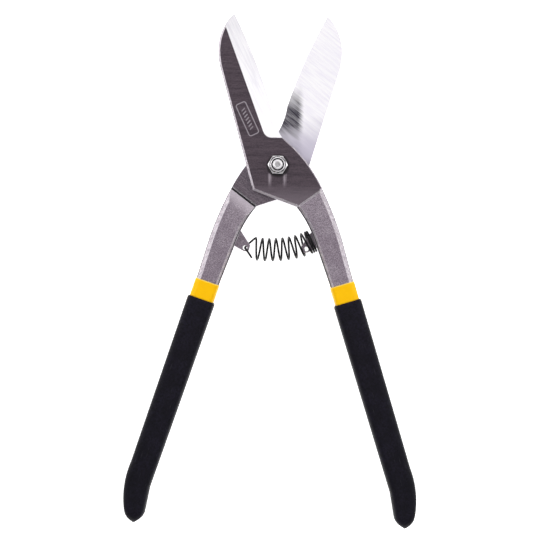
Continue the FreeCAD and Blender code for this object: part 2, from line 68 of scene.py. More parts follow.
# the handle's straight axis, from the neck towards the end, in the front half's coordinates
NECK = Vector((37.05, -63.55, 0)) * MM
HANDLE_ANGLE = math.radians(17.87)
HANDLE_WAY = Vector((math.sin(HANDLE_ANGLE), -math.cos(HANDLE_ANGLE), 0))
HANDLE_OUT = Vector((math.cos(HANDLE_ANGLE), math.sin(HANDLE_ANGLE), 0))
COAT_START = 2.8 * MM
GRIP_START = 13.3 * MM
HANDLE_END = 145.2 * MM

# the forging's faces, in its own coordinates in millimetres; a facing is the normal's height,
# and a pair of numbers is where a mask starts and where it is full
SHOULDER = 25.3  # from the pivot to the step between plate and handle
SHOULDER_TURN = math.radians(53.4)
BEVEL_TURN = math.radians(22.5)
FLAT_FACING = (0.96, 0.985)
UPRIGHT_FACING = (0.3, 0.2)
CHAMFER_FACING = math.sqrt(0.5)
RISER_FACING = -0.32
RAMP_FACING = (-0.5, -0.8)
RAMP_REACH = (11.0, 1.0)  # past the shoulder
LUG_FACE = 1.3

# marks on the blades, painted reflections and shadows among them, in the same coordinates
GRIND_TURN = math.radians(-38)  # the shear face's grinding lines
REFLECTION_SIDE = (-14.5, -10.5)  # the painted dark reflection's edge, across the shear face
REFLECTION_TOP = (46.0, 31.0)
REFLECTION_FOOT = (14.0, 23.0)
REFLECTION_DRIFT = 14.0
REFLECTION_FRAY = 5.0
REFLECTION_FADE = (32.0, 8.0)  # the shear face is painted darker towards the pivot, a painted reflection
PLATE_TOP = (6.0, -4.0)  # the pivot plate's part of the shear face is dark, painted shade under the front blade
STREAK_PLACE = 4.2
STREAK_WIDTH = 1.5
STREAK_TOP = (-4.0, -5.5)
STREAK_FOOT = (-14.0, -6.0)
NUT_SHADOW_CENTRE = (0.25, -0.35, 0)  # painted shadow round the nut, a little more below it
NUT_SHADOW_RING = (7.1, 5.7)
BADGE_CENTRE = (-17.6, 25.6, 0)
BADGE_TURN = math.radians(64)
BADGE_HALF = (9.6, 2.9)
BADGE_CORNER = 1.2
BADGE_LINE = 0.32
TICK_SPACE = 0.95
TICK_EDGE = (0.42, 0.3)
TICK_SLANT = 0.4
TICK_ROW = (6.6, 1.3)

# rings on the end of the bolt and on the nut, by their radius in millimetres; the bolt's rim and the nut's
# crease are painted shade
BOLT_MIDDLE = (1.75, 1.35)
BOLT_RIM = (2.65, 2.85)
NUT_CREASE = 4.42
CREASE_HALF = 0.34


# ---------------------------------------------------------------- shader building


class Paint:
    """One material's nodes, added and joined through short calls."""

    def __init__(self, name):
        self.material = bpy.data.materials.new(name)
        self.material.use_nodes = True
        self.tree = self.material.node_tree
        self.shader = self.tree.nodes["Principled BSDF"]
        self.spot = self.node("ShaderNodeTexCoord").outputs["Object"]

    def node(self, kind, inputs=(), **settings):
        """A node with its settings, and its inputs joined or set."""
        made = self.tree.nodes.new(kind)
        for name, value in settings.items():
            setattr(made, name, value)
        for name, value in dict(inputs).items():
            self.put(made.inputs[name], value)
        return made

    def put(self, socket, value):
        """Joins the socket to another one, or sets its value."""
        if isinstance(value, bpy.types.NodeSocket):
            self.tree.links.new(value, socket)
        else:
            socket.default_value = value

    def set(self, **inputs):
        """The surface shader's inputs, with _ for each space in their names."""
        for name, value in inputs.items():
            self.put(self.shader.inputs[name.replace("_", " ")], value)

    def math(self, operation, *values, clamp=False):
        made = self.node("ShaderNodeMath", enumerate(values), operation=operation)
        made.use_clamp = clamp
        return made.outputs[0]

    def times(self, first, *others):
        """The product of all the numbers."""
        for other in others:
            first = self.math("MULTIPLY", first, other)
        return first

    def plus(self, first, second):
        return self.math("ADD", first, second)

    def minus(self, first, second):
        return self.math("SUBTRACT", first, second)

    def absolute(self, value):
        return self.math("ABSOLUTE", value)

    def vector(self, operation, *values):
        return self.node("ShaderNodeVectorMath", enumerate(values), operation=operation).outputs[0]

    def length(self, vector):
        return self.node("ShaderNodeVectorMath", {0: vector}, operation="LENGTH").outputs["Value"]

    def dot(self, first, second):
        made = self.node("ShaderNodeVectorMath", {0: first, 1: second}, operation="DOT_PRODUCT")
        return made.outputs["Value"]

    def parts(self, vector):
        return self.node("ShaderNodeSeparateXYZ", {0: vector}).outputs

    def millimetres(self):
        """The place in the frame, in millimetres."""
        return self.vector("MULTIPLY", self.spot, (1 / MM,) * 3)

    def step(self, value, low, high, bottom=0.0, top=1.0):
        """A smooth step from bottom to top as the value goes from low to high."""
        inputs = {"Value": value, "From Min": low, "From Max": high, "To Min": bottom, "To Max": top}
        return self.node("ShaderNodeMapRange", inputs, interpolation_type="SMOOTHSTEP").outputs[0]

    def near(self, value, target, reach):
        """One where the value is within reach of the target, and nought elsewhere."""
        away = self.absolute(self.minus(value, target))
        return self.step(away, reach * 0.8, reach, 1.0, 0.0)

    def stretched(self, spot, turn=0.0, scale=(1, 1, 1)):
        """The place in a frame turned about Z by an angle, then scaled: for grinding lines."""
        inputs = {"Vector": spot, "Angle": turn}
        turned = self.node("ShaderNodeVectorRotate", inputs, rotation_type="Z_AXIS")
        return self.vector("MULTIPLY", turned.outputs[0], scale)

    def noise(self, spot, scale, detail=3.0, rough=0.5):
        inputs = {"Vector": spot, "Scale": scale, "Detail": detail, "Roughness": rough}
        return self.node("ShaderNodeTexNoise", inputs).outputs["Fac"]

    def cells(self, spot, scale, feature="F1"):
        inputs = {"Vector": spot, "Scale": scale}
        return self.node("ShaderNodeTexVoronoi", inputs, feature=feature).outputs["Distance"]

    def mix(self, amount, first, second):
        """Colours mixed from the first to the second."""
        made = self.node("ShaderNodeMix", data_type="RGBA")
        self.put(made.inputs["Factor"], amount)
        self.put(made.inputs[6], first)
        self.put(made.inputs[7], second)
        return made.outputs[2]

    def blend(self, amount, first, second):
        """Numbers mixed from the first to the second."""
        made = self.node("ShaderNodeMix", data_type="FLOAT")
        self.put(made.inputs["Factor"], amount)
        self.put(made.inputs[2], first)
        self.put(made.inputs[3], second)
        return made.outputs[0]

    def lay(self, colour, mask, strength, over):
        """The colour with another laid over it where the mask is, at a strength of up to one."""
        return self.mix(self.times(mask, strength), colour, over)

    def rounded(self, radius, samples=6):
        """The normal as if the edges were rounded off."""
        return self.node("ShaderNodeBevel", {"Radius": radius}, samples=samples).outputs[0]

    def bump(self, height, strength, distance, normal=None):
        inputs = {"Height": height, "Strength": strength, "Distance": distance}
        if normal is not None:
            inputs["Normal"] = normal
        return self.node("ShaderNodeBump", inputs).outputs[0]


def shade(red, green, blue):
    """A colour given as 0 to 255 on screen, as the linear values that shaders use."""
    return tuple(linear(part / 255) for part in (red, green, blue)) + (1.0,)


def linear(level):
    """The sRGB curve, from a screen's level of 0 to 1 to the light's."""
    return level / 12.92 if level < 0.04045 else ((level + 0.055) / 1.055) ** 2.4


# ---------------------------------------------------------------- steel of the two halves


def own_frame(paint, turned):
    """The place in the half's own millimetres, and its own normal."""
    side = -1.0 if turned else 1.0
    to_shear = paint.vector("SUBTRACT", paint.spot, (0, 0, shear_height))
    spot = paint.vector("MULTIPLY", to_shear, (side / MM, 1 / MM, side / MM))
    world = paint.node("ShaderNodeTexCoord").outputs["Normal"]
    normal = paint.vector("MULTIPLY", world, (side, 1.0, side))
    return spot, normal


def forged_steel(name, turned, marked):
    """Sandblasted handle, dark brushed outer face, bright ground bevel and shear face, with painted sheen
    and shade on the handle's faces and painted highlights and reflections on the blade.
    """
    paint = Paint(name)
    spot, normal = own_frame(paint, turned)
    faces = steel_faces(paint, spot, normal)
    colour, rough, height = sandblast(paint, spot)
    colour = paint.lay(colour, faces["lug"], 0.25, shade(112, 100, 108))
    looks = {
        # painted sheen on the ramp; painted shade on the flank and the riser
        "ramp": (shade(214, 204, 213), 0.42, height),
        "flank": (shade(58, 51, 58), 1.0, height),
        "riser": (shade(46, 40, 46), 0.6, height),
        "wall": ground_lines(paint, spot, math.radians(90), (150, 142, 152), (196, 190, 200), 0.38),
        "chamfer": ground_lines(paint, spot, math.radians(20), (168, 157, 167), (222, 214, 221), 0.36),
        "outer": brushed_dark(paint, spot, marked),
        "shear": shear_ground(paint, spot),
        # bright ground steel, lightened to near white as a painted highlight
        "bevel": ground_lines(paint, spot, math.radians(62), (236, 233, 240), (252, 250, 253), 0.3),
    }
    for face, (face_colour, face_rough, face_height) in looks.items():
        colour = paint.mix(faces[face], colour, face_colour)
        rough = paint.blend(faces[face], rough, face_rough)
        height = paint.blend(faces[face], height, face_height)
    colour, rough = edge_wear_and_highlight(paint, spot, colour, rough)
    metal = paint.blend(paint.math("MAXIMUM", faces["shear"], faces["bevel"]), 0.55, 0.25)
    paint.set(Base_Color=colour, Roughness=rough, Metallic=paint.blend(faces["flank"], metal, 0.0))
    paint.set(Normal=paint.bump(height, 0.55, 0.06 * MM, paint.rounded(0.25 * MM)))
    return paint.material


def steel_faces(paint, spot, normal):
    """Where each kind of face lies on a half, as masks, from its tilt and its place."""
    x, y, z = paint.parts(spot)
    facing = paint.parts(normal)[2]
    tilt = paint.absolute(facing)
    upright = paint.step(tilt, *UPRIGHT_FACING)
    down = shoulder_distance(paint, x, y)
    blade = paint.step(down, SHOULDER + 0.2, SHOULDER - 0.05)
    past = paint.minus(1.0, blade)
    beyond = paint.minus(down, SHOULDER)
    slope = paint.times(paint.step(facing, *RAMP_FACING), paint.step(beyond, *RAMP_REACH))
    return {
        "lug": paint.times(paint.step(paint.absolute(z), LUG_FACE + 0.3, LUG_FACE + 0.1), past),
        "ramp": paint.times(slope, past, 0.6),
        "flank": paint.times(upright, past),
        "riser": paint.times(paint.near(facing, RISER_FACING, 0.12), paint.near(beyond, 0.5, 1.8)),
        "wall": paint.times(upright, blade),
        "chamfer": paint.near(tilt, CHAMFER_FACING, 0.12),
        "outer": paint.times(paint.step(facing, *FLAT_FACING), blade),
        "shear": paint.times(paint.step(paint.times(facing, -1.0), *FLAT_FACING), blade),
        "bevel": paint.times(paint.near(facing, math.cos(BEVEL_TURN), 0.02), blade),
    }


def shoulder_distance(paint, x, y):
    """How far a place is from the pivot, square to the line of the shoulder."""
    across = paint.times(x, math.cos(SHOULDER_TURN))
    down = paint.times(y, -math.sin(SHOULDER_TURN))
    return paint.plus(across, down)


def sandblast(paint, spot):
    """Fine speckle with soft cloudy patches and a few darker pits."""
    grains = paint.noise(spot, 2.0, 5.0, 0.75)
    clouds = paint.noise(spot, 0.09, 3.0, 0.55)
    pits = paint.step(paint.cells(spot, 1.1), 0.14, 0.05)
    base = paint.mix(paint.step(clouds, 0.3, 0.7), shade(156, 143, 155), shade(188, 177, 187))
    blotches = paint.noise(spot, 0.8, 2.0, 0.6)
    base = paint.lay(base, paint.step(blotches, 0.55, 0.35), 0.5, shade(118, 105, 118))
    speckled = paint.mix(paint.step(grains, 0.4, 0.6), shade(108, 96, 108), base)
    glinting = paint.mix(paint.step(grains, 0.62, 0.76), speckled, shade(238, 232, 238))
    colour = paint.lay(glinting, pits, 0.35, shade(80, 70, 80))
    rough = paint.blend(grains, 0.36, 0.6)
    height = paint.minus(grains, paint.times(pits, 0.4))
    return colour, rough, height


def ground_lines(paint, spot, turn, dark, light, rough):
    """Straight grinding lines across a bright face, some deeper than others."""
    fine = paint.noise(paint.stretched(spot, turn, (0.12, 6.0, 1.0)), 1.0, 4.0, 0.65)
    broad = paint.noise(paint.stretched(spot, turn, (0.05, 0.9, 1.0)), 1.0, 2.0, 0.5)
    tone = paint.plus(paint.times(fine, 0.6), paint.times(broad, 0.4))
    colour = paint.mix(paint.step(tone, 0.38, 0.6), shade(*dark), shade(*light))
    return colour, paint.blend(fine, rough - 0.08, rough + 0.12), fine


def shear_ground(paint, spot):
    """The flat cutting face: bright blade fading to the pivot and dark by the throat as painted reflection,
    mottled pivot plate in painted shade.
    """
    # bright ground steel, lightened to near white as a painted reflection
    colour, rough, height = ground_lines(paint, spot, GRIND_TURN, (240, 236, 246), (255, 253, 255), 0.3)
    x, y, _ = paint.parts(spot)
    lines = paint.noise(paint.stretched(spot, GRIND_TURN, (0.06, 1.5, 1.0)), 1.0, 4.0, 0.7)
    drift = paint.noise(paint.stretched(spot, GRIND_TURN, (0.04, 0.25, 1.0)), 1.0, 2.0)
    level = paint.plus(y, paint.times(paint.minus(drift, 0.5), REFLECTION_DRIFT))
    # painted reflection: the shear face greyer towards the pivot
    colour = paint.mix(paint.step(level, *REFLECTION_FADE), colour, shade(200, 194, 210))
    # painted reflection: the other blade mirrored dark in the shear face by the throat
    colour = paint.mix(dark_reflection(paint, x, level, lines), colour, shade(38, 32, 48))
    # painted shade: the pivot plate's part of the shear face, under the front blade, darker and mottled
    blotches = paint.noise(spot, 1.3, 5.0, 0.7)
    mottled = paint.step(paint.plus(paint.times(lines, 0.4), paint.times(blotches, 0.6)), 0.4, 0.6)
    plate = paint.mix(mottled, shade(70, 60, 70), shade(118, 106, 116))
    return paint.mix(paint.step(y, *PLATE_TOP), colour, plate), rough, height


def dark_reflection(paint, x, level, lines):
    """How dark the painted reflection of the other blade is: fullest beside the throat, and frayed along
    the grinding lines.
    """
    edge = paint.plus(x, paint.times(paint.minus(lines, 0.5), REFLECTION_FRAY))
    top = paint.step(level, *REFLECTION_TOP)
    foot = paint.step(level, *REFLECTION_FOOT, 0.15, 1.0)
    streaks = paint.step(lines, 0.38, 0.6, 0.75, 1.0)
    return paint.times(paint.step(edge, *REFLECTION_SIDE), top, foot, streaks)


def brushed_dark(paint, spot, marked):
    """Dark outer face, brushed across, with a painted reflection and a painted shadow by the nut and an
    etched badge.
    """
    fine = paint.noise(paint.vector("MULTIPLY", spot, (0.14, 5.0, 1.0)), 1.0, 5.0, 0.7)
    broad = paint.noise(paint.vector("MULTIPLY", spot, (0.04, 0.5, 1.0)), 1.0, 3.0, 0.5)
    grains = paint.noise(spot, 1.7, 5.0, 0.7)
    brushing = paint.plus(paint.times(fine, 0.5), paint.times(broad, 0.2))
    tone = paint.plus(brushing, paint.times(grains, 0.3))
    colour = paint.mix(paint.step(tone, 0.36, 0.64), shade(50, 41, 50), shade(93, 80, 89))
    # painted reflection of the nut: two pale streaks below it
    colour = paint.lay(colour, nut_reflection_streaks(paint, spot), 0.75, shade(186, 174, 184))
    foot = paint.step(paint.parts(spot)[1], -9.0, -19.0, 0.0, 0.3)
    colour = paint.mix(foot, colour, shade(150, 138, 148))
    # painted shadow: a dark ring round the nut, stronger below it
    from_nut = paint.vector("SUBTRACT", spot, NUT_SHADOW_CENTRE)
    away = paint.length(paint.vector("MULTIPLY", from_nut, (1, 1, 0)))
    nut_shadow = paint.times(paint.step(away, *NUT_SHADOW_RING), paint.blend(grains, 0.6, 1.0))
    colour = paint.mix(nut_shadow, colour, shade(20, 16, 20))
    rough = paint.blend(fine, 0.32, 0.5)
    if not marked:
        return colour, rough, fine
    mark = badge(paint, spot)
    colour = paint.lay(colour, mark, 0.72, shade(172, 164, 172))
    return colour, paint.blend(mark, rough, 0.6), paint.blend(mark, fine, 0.0)


def nut_reflection_streaks(paint, spot):
    """Two pale streaks that run down from the nut and fade out: a painted reflection of the nut in the
    brushed face.
    """
    x, y, _ = paint.parts(spot)
    beside = paint.absolute(paint.minus(paint.absolute(x), STREAK_PLACE))
    fade = paint.times(paint.step(y, *STREAK_FOOT), paint.step(y, *STREAK_TOP))
    uneven = paint.noise(paint.vector("MULTIPLY", spot, (1.4, 0.1, 1.0)), 1.0, 2.0, 0.5)
    return paint.times(paint.step(beside, STREAK_WIDTH, 0.0), fade, paint.step(uneven, 0.25, 0.6))


def badge(paint, spot):
    """A plain etched badge along the blade: a rounded frame round a row of slanting ticks."""
    shifted = paint.vector("SUBTRACT", spot, BADGE_CENTRE)
    along, across, _ = paint.parts(paint.stretched(shifted, BADGE_TURN))
    overhang = []
    for place, half in ((along, BADGE_HALF[0]), (across, BADGE_HALF[1])):
        beyond = paint.minus(paint.absolute(place), half - BADGE_CORNER)
        overhang.append(paint.math("MAXIMUM", beyond, 0.0))
    reach = paint.math("SQRT", paint.plus(*(paint.times(part, part) for part in overhang)))
    border = paint.near(reach, BADGE_CORNER, BADGE_LINE)
    slanted = paint.plus(along, paint.times(across, TICK_SLANT))
    ticks = paint.step(paint.math("PINGPONG", slanted, TICK_SPACE), *TICK_EDGE)
    row = paint.times(paint.near(across, 0.0, TICK_ROW[1]), paint.near(slanted, 0.0, TICK_ROW[0]))
    return paint.math("MAXIMUM", border, paint.times(ticks, row), clamp=True)


def edge_wear_and_highlight(paint, spot, colour, rough):
    """Corners made bright, partly worn steel and partly a painted edge highlight: where the rounded normal
    leans away from the flat one.
    """
    rounded = paint.rounded(0.6 * MM, samples=8)
    flat = paint.node("ShaderNodeNewGeometry").outputs["Normal"]
    lean = paint.dot(rounded, flat)
    patchy = paint.noise(spot, 0.9, 4.0, 0.6)
    worn_and_lit = paint.times(paint.step(lean, 0.99, 0.9), paint.step(patchy, 0.25, 0.5))
    # worn steel and painted edge highlight at the corners
    colour = paint.lay(colour, worn_and_lit, 0.85, shade(240, 236, 242))
    return colour, paint.blend(worn_and_lit, rough, 0.28)


# ---------------------------------------------------------------- other materials


def plated_steel(name, dark_middle):
    """Bright plated steel of the nut and bolt: fine crystals, turning rings, painted shade in crevices and
    recesses.

    The bolt has a dark middle and a rim in painted shade, and the nut has a crease in painted shade where
    its collar starts.
    """
    paint = Paint(name)
    spot = paint.millimetres()
    radius = paint.length(paint.vector("MULTIPLY", spot, (1, 1, 0)))
    rings = paint.noise(paint.node("ShaderNodeCombineXYZ", {0: radius}).outputs[0], 9.0, 2.0)
    grain = paint.noise(spot, 6.0, 5.0, 0.65)
    clouds = paint.noise(spot, 0.7, 3.0)
    colour = paint.mix(paint.step(clouds, 0.3, 0.7), shade(228, 223, 228), shade(250, 248, 250))
    colour = paint.mix(paint.step(grain, 0.6, 0.72), colour, shade(255, 254, 255))
    if dark_middle:
        mottle = paint.step(paint.noise(spot, 3.4, 4.0, 0.65), 0.3, 0.62, 1.0, 0.35)
        centre = paint.times(paint.step(radius, *BOLT_MIDDLE), mottle)
        dark_middle_and_shade = paint.math("MAXIMUM", centre, paint.step(radius, *BOLT_RIM))
    else:
        dark_middle_and_shade = paint.times(paint.near(radius, NUT_CREASE, CREASE_HALF), paint.step(clouds, 0.3, 0.5))
    # painted shade in the bolt's rim gap and the nut's crease, with the bolt's dark middle
    colour = paint.lay(colour, dark_middle_and_shade, 0.93, shade(34, 29, 34))
    # painted shade: darker wherever ambient occlusion finds a recess
    open_sky = paint.node("ShaderNodeAmbientOcclusion", {"Distance": 0.9 * MM}, samples=8).outputs["AO"]
    colour = paint.mix(paint.step(open_sky, 0.25, 0.85), shade(30, 26, 30), colour)
    paint.set(Base_Color=colour, Metallic=paint.blend(dark_middle_and_shade, 0.45, 1.0))
    height = paint.plus(paint.times(rings, 0.7), paint.times(grain, 0.5))
    paint.set(Roughness=paint.blend(grain, 0.2, 0.42))
    paint.set(Normal=paint.bump(height, 0.35, 0.03 * MM, paint.rounded(0.18 * MM)))
    return paint.material


def nylon():
    """Nylon painted dark blue-grey as painted shade in its recess, cloudy and scuffed by the bolt's thread.
    """
    paint = Paint("nylon_insert")
    spot = paint.millimetres()
    cloudy = paint.noise(spot, 1.6, 3.0)
    scuffs = paint.noise(spot, 9.0, 4.0, 0.7)
    # painted shade: the nylon's near-black colour stands for its shadowed recess
    colour = paint.mix(cloudy, shade(14, 14, 20), shade(26, 26, 36))
    paint.set(Base_Color=paint.mix(paint.step(scuffs, 0.62, 0.74), colour, shade(70, 70, 84)))
    paint.set(Roughness=paint.blend(scuffs, 0.6, 0.8), Specular_IOR_Level=0.15)
    paint.set(Normal=paint.bump(scuffs, 0.4, 0.03 * MM))
    return paint.material


def spring_steel():
    """Black oxide wire with drawing marks along it and bright rubs."""
    paint = Paint("oxide_wire")
    spot = paint.millimetres()
    grain = paint.noise(spot, 5.0, 4.0, 0.6)
    patches = paint.noise(spot, 0.6, 3.0)
    colour = paint.mix(grain, shade(6, 6, 8), shade(16, 15, 18))
    colour = paint.lay(colour, paint.step(patches, 0.6, 0.72), 0.25, shade(96, 92, 98))
    paint.set(Base_Color=colour, Metallic=0.1, Roughness=paint.blend(grain, 0.26, 0.44))
    paint.set(Specular_IOR_Level=0.22)
    paint.set(Normal=paint.bump(grain, 0.3, 0.03 * MM))
    return paint.material


def handle_place(paint, side):
    """Places along, across and above the handle's own axis, in millimetres."""
    moved = paint.vector("SUBTRACT", paint.spot, (side * NECK.x, NECK.y, shear_height))
    scaled = paint.vector("MULTIPLY", moved, (side / MM, 1 / MM, 1 / MM))
    return paint.stretched(scaled, math.pi / 2 - HANDLE_ANGLE)


def yellow_dip(name, side):
    """Glossy first coat: slightly uneven colour, paler at its upper rim, a painted shadow where the black
    grip starts, fine orange peel.
    """
    paint = Paint(name)
    spot = handle_place(paint, side)
    along, _, _ = paint.parts(spot)
    peel = paint.noise(spot, 1.5, 3.0, 0.5)
    cloudy = paint.noise(spot, 0.22, 3.0)
    dust = paint.step(paint.noise(spot, 5.0, 3.0, 0.6), 0.68, 0.74)
    colour = paint.mix(cloudy, shade(250, 188, 0), shade(255, 199, 0))
    rim = paint.step(along, COAT_START / MM + 0.9, COAT_START / MM)
    colour = paint.lay(colour, rim, 0.7, shade(255, 232, 122))
    shadow = paint.step(along, GRIP_START / MM - 0.9, GRIP_START / MM)
    colour = paint.lay(colour, shadow, 0.55, shade(166, 118, 6))
    colour = paint.lay(colour, dust, 0.4, shade(196, 140, 0))
    paint.set(Base_Color=colour, Roughness=paint.blend(peel, 0.36, 0.52), Specular_IOR_Level=0.1)
    paint.set(Normal=paint.bump(peel, 0.25, 0.05 * MM))
    return paint.material


def black_dip(name, side):
    """Textured black vinyl: leathery cells, fine grain, scuffs and a paler upper part."""
    paint = Paint(name)
    spot = handle_place(paint, side)
    along, _, _ = paint.parts(spot)
    swirl = paint.node("ShaderNodeTexNoise", {"Vector": spot, "Scale": 0.9, "Detail": 2.0})
    shift = paint.vector("MULTIPLY", swirl.outputs["Color"], (0.9, 0.9, 0.9))
    pebbles = paint.cells(paint.vector("ADD", spot, shift), 0.95, "SMOOTH_F1")
    grain = paint.noise(spot, 3.4, 5.0, 0.7)
    cloudy = paint.noise(spot, 0.12, 3.0, 0.6)
    colour = paint.mix(paint.step(along, 30.0, 120.0), shade(18, 15, 25), shade(14, 12, 22))
    colour = paint.mix(paint.step(cloudy, 0.35, 0.7), colour, shade(24, 21, 34))
    colour = paint.mix(paint.step(pebbles, 0.25, 0.75), colour, shade(12, 10, 18))
    flecks = paint.step(grain, 0.6, 0.74)
    colour = paint.lay(colour, flecks, 0.3, shade(84, 82, 90))
    scuffs = paint.noise(paint.vector("MULTIPLY", spot, (0.08, 0.7, 0.7)), 1.0, 4.0, 0.6)
    colour = paint.lay(colour, paint.step(scuffs, 0.62, 0.74), 0.16, shade(92, 90, 98))
    height = paint.plus(paint.times(pebbles, -0.9), paint.times(grain, 0.55))
    paint.set(Base_Color=colour, Roughness=paint.blend(grain, 0.5, 0.72), Specular_IOR_Level=0.12)
    paint.set(Normal=paint.bump(height, 0.6, 0.16 * MM))
    return paint.material


def floor_white():
    """Pale matt card with a hardly visible tooth."""
    paint = Paint("pale_card")
    tooth = paint.noise(paint.spot, 900.0, 3.0)
    paint.set(Base_Color=paint.mix(tooth, shade(250, 250, 250), shade(255, 255, 255)), Roughness=0.9)
    paint.set(Emission_Color=(1, 1, 1, 1), Emission_Strength=0.85)
    return paint.material


# ---------------------------------------------------------------- the dipped coats

SPOKES = 96  # distances in each outline
CUT_POINTS = 24  # places along each cut edge
BODY_STATIONS = 150  # outlines along the straight and the bend
TIP_STATIONS = 40  # closer ones towards the end
RIM_STEPS = 8
RIM_REACH = 1.4 * MM  # the rounded rim, along the handle
TIP_REACH = 12 * MM
DOME_REACH = 9 * MM
DOME_POWER = 2.6
DOME_SIDES = 0.4  # how much of the dome the sides follow
RIPPLE_PACE = 90  # radians per metre along the handle
UNDERCOAT = {"start": COAT_START, "end": HANDLE_END - 1.1 * MM, "wall": 0.35 * MM, "easing": 1, "ripple": 0}
GRIP = {"start": GRIP_START, "end": HANDLE_END, "wall": 0.9 * MM, "easing": 5, "ripple": 0.12 * MM}


def new_object(name, points, faces, material, smooth=True):
    mesh = bpy.data.meshes.new(name)
    mesh.from_pydata([tuple(point) for point in points], [], faces)
    mesh.materials.append(material)
    mesh.update()
    mesh.polygons.foreach_set("use_smooth", [smooth] * len(mesh.polygons))
    made = bpy.data.objects.new(name, mesh)
    bpy.context.scene.collection.objects.link(made)
    return made


def ring_faces(rings, around):
    """Quads between rings of points, and one face over each end."""
    faces = []
    for ring in range(rings - 1):
        for number in range(around):
            after = (number + 1) % around
            low, high = ring * around, (ring + 1) * around
            faces.append((low + number, low + after, high + after, high + number))
    faces.append(tuple(reversed(range(around))))
    faces.append(tuple(range((rings - 1) * around, rings * around)))
    return faces


def dip_sections(node, side, stations):
    """Outer outlines of a CAD coat, cut square across the handle at each station.

    Each outline is a row of distances from the section's middle, evenly spaced by angle.
    """
    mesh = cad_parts[node].data
    mesh.calc_loop_triangles()
    place = np.array([v.co for v in mesh.vertices])
    place[:, 0] *= side
    place -= np.array([NECK.x, NECK.y, shear_height])
    along = place @ np.array(HANDLE_WAY)
    across = place @ np.array(HANDLE_OUT)
    flat = np.column_stack([across, place[:, 2]])
    triangles = np.array([triangle.vertices[:] for triangle in mesh.loop_triangles])
    middles = []
    outlines = []
    for station in stations:
        cut = section_cut(triangles, along - station, flat)
        middle = (cut.min(0) + cut.max(0)) / 2
        middles.append(middle)
        outlines.append(outline_by_angle(cut - middle))
    return np.array(middles), np.array(outlines)


def section_cut(triangles, height, flat):
    """Points all along the lines where the triangles cross height nought."""
    points = []
    for triangle in triangles[np.ptp(np.sign(height[triangles]), axis=1) > 0]:
        ends = []
        for first, second in ((0, 1), (1, 2), (2, 0)):
            a, b = triangle[first], triangle[second]
            if height[a] * height[b] < 0:
                share = height[a] / (height[a] - height[b])
                ends.append(flat[a] + (flat[b] - flat[a]) * share)
        if len(ends) == 2:
            points.extend(ends[0] + (ends[1] - ends[0]) * t for t in np.linspace(0, 1, CUT_POINTS))
    return np.array(points)


def outline_by_angle(points):
    """The farthest point in each direction, with gaps filled from both sides."""
    angle = np.arctan2(points[:, 1], points[:, 0]) % math.tau
    reach = np.hypot(points[:, 0], points[:, 1])
    spoke = np.round(angle / math.tau * SPOKES).astype(int) % SPOKES
    farthest = np.zeros(SPOKES)
    np.maximum.at(farthest, spoke, reach)
    known = np.flatnonzero(farthest)
    return np.interp(np.arange(SPOKES), known, farthest[known], period=SPOKES)


def softened(rows, passes):
    """Distances with each outline's corners eased."""
    for _ in range(passes):
        rows = (np.roll(rows, 1, axis=1) + 2 * rows + np.roll(rows, -1, axis=1)) / 4
    return rows


def dipped_coat(name, node, side, layer, material):
    """A coat that follows its CAD solid, with a rounded rim and a softly domed end."""
    body = np.linspace(layer["start"] + RIM_REACH, layer["end"] - TIP_REACH, BODY_STATIONS)
    swing = np.sin(np.linspace(0, math.pi / 2, TIP_STATIONS)[1:-1])
    stations = np.concatenate([body, layer["end"] - TIP_REACH * (1 - swing)])
    middles, outlines = dip_sections(node, side, stations)
    outlines = softened(outlines, layer["easing"])
    dome = np.clip((stations - (layer["end"] - DOME_REACH)) / DOME_REACH, 0, 1)
    flatness = np.sqrt(np.clip(1 - dome ** DOME_POWER, 0.0, 1))
    rings = []
    for rim in np.linspace(0, math.pi / 2, RIM_STEPS)[:-1]:
        inset = layer["wall"] * (1 - math.sin(rim))
        along = layer["start"] + RIM_REACH * (1 - math.cos(rim))
        rings.append((along, middles[0], outlines[0] - inset, 1.0))
    rings += list(zip(stations, middles, outlines, flatness))
    points = [point for ring in rings for point in coat_ring(side, layer["ripple"], *ring)]
    faces = ring_faces(len(rings), SPOKES)
    if side < 0:
        faces = [tuple(reversed(face)) for face in faces]
    coat = new_object(name, points, faces, material)
    return coat


def coat_ring(side, ripple, along, middle, outline, flatness):
    """The points of one outline, in the frame, with the coat's slight ripple along it."""
    dip = ripple * abs(math.sin(along * RIPPLE_PACE))
    for number, reach in enumerate(outline):
        angle = number * math.tau / SPOKES
        across = middle[0] + reach * math.cos(angle) * flatness ** DOME_SIDES
        height = middle[1] + (reach * flatness - dip) * math.sin(angle)
        spot = NECK + HANDLE_WAY * along + HANDLE_OUT * across
        yield spot.x * side, spot.y, height + shear_height


# ---------------------------------------------------------------- the return spring

# the sizes of the model's own spring, about the shear plane
WIRE = 1.15 * MM
COIL = 12.3 * MM  # across the coil, between the wire's middles
OPEN_TURNS = 7.5
CLOSED_TURNS = 2.0
CLOSED_PITCH = 1.25 * MM
COIL_START = Vector((-11.9, -47.1, 0)) * MM
COIL_START_ANGLE = math.radians(-6)
COIL_CLOSED_ANGLE = math.radians(25)
LUG_HOLE = Vector((-17.3, -46.7, 0)) * MM
LUG_MIDDLE = Vector((21.8, -41.2, 0)) * MM
LUG_THICK = 2.6 * MM
COIL_SEAT = 1.6 * MM
COIL_DROP = 0.2 * MM
HOOK_BEND = 1.6 * MM
HOOK_GAP = 0.6 * MM
HOOK_REACH = 7.0 * MM
LEAD_REACH = 3.9 * MM
TAIL_ANGLE = math.radians(-55)
LEAD_ANGLE = math.radians(48)
LEAD_TURN = 0.5  # where the hook's curve heads for in the first coil, in radians
LEAD_STEP = 0.5 * MM
STEPS_PER_TURN = 48
HOOK_STEPS = 12
WIRE_SIDES = 14
SLIDE_BACK = -0.25  # how far the first coils slide back over the rear lug as the snips close
SLIDE_TURNS = 0.75  # how many of them do
